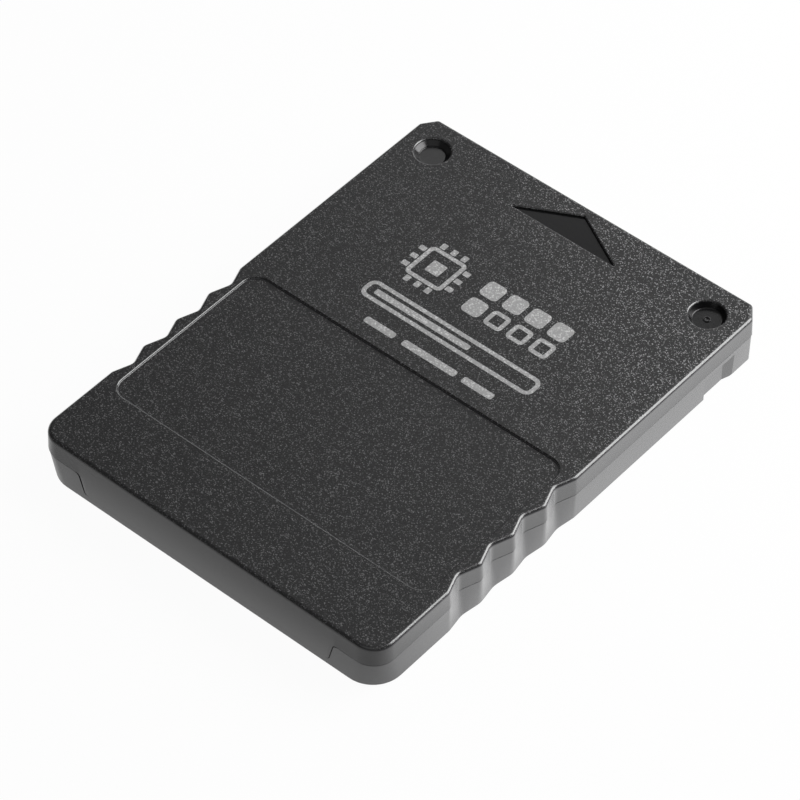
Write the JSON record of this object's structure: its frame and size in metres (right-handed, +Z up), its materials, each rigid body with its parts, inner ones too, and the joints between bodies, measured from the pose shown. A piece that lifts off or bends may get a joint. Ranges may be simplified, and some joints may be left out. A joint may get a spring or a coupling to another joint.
{
  "type": "console memory card",
  "caption": "Flat two-shell memory card for a game console, with finger grooves along both sides, a sticker field, an insertion arrow and contact windows at its plug end.",
  "frame": {"origin": "on the surface that the card lies on, under the middle of its box", "axes": "+Y along the length, towards the contacts and the way the card is pushed in; +Z up, out of the face with the arrow; +X to the right seen with the arrow pointing up"},
  "size_m": [0.0408, 0.055, 0.0055],
  "materials": {
    "cover_plastic": "moulded ABS with a fine spark-eroded grain",
    "case_plastic": "moulded ABS, satin",
    "board_laminate": "glass-epoxy laminate under green solder resist",
    "contact_gold": "gold-plated copper",
    "chip_resin": "moulded epoxy",
    "lead_tin": "tin-plated",
    "crystal_ceramic": "fired ceramic",
    "crystal_metal": "nickel-plated lid",
    "capacitor_ceramic": "fired ceramic",
    "resistor_ceramic": "glazed ceramic"
  },
  "bodies": {
    "root": {"top_cover": "cover_plastic", "bottom_case": "case_plastic", "circuit_board": "board_laminate", "contact_pads": "contact_gold", "memory_chip_body": "chip_resin", "memory_chip_leads": "lead_tin", "controller_chip_body": "chip_resin", "controller_chip_leads": "lead_tin", "regulator_body": "chip_resin", "regulator_leads": "lead_tin", "crystal_base": "crystal_ceramic", "crystal_lid": "crystal_metal", "capacitor_bodies": "capacitor_ceramic", "capacitor_ends": "lead_tin", "resistor_bodies": "resistor_ceramic", "resistor_ends": "lead_tin"}
  },
  "joints": []
}
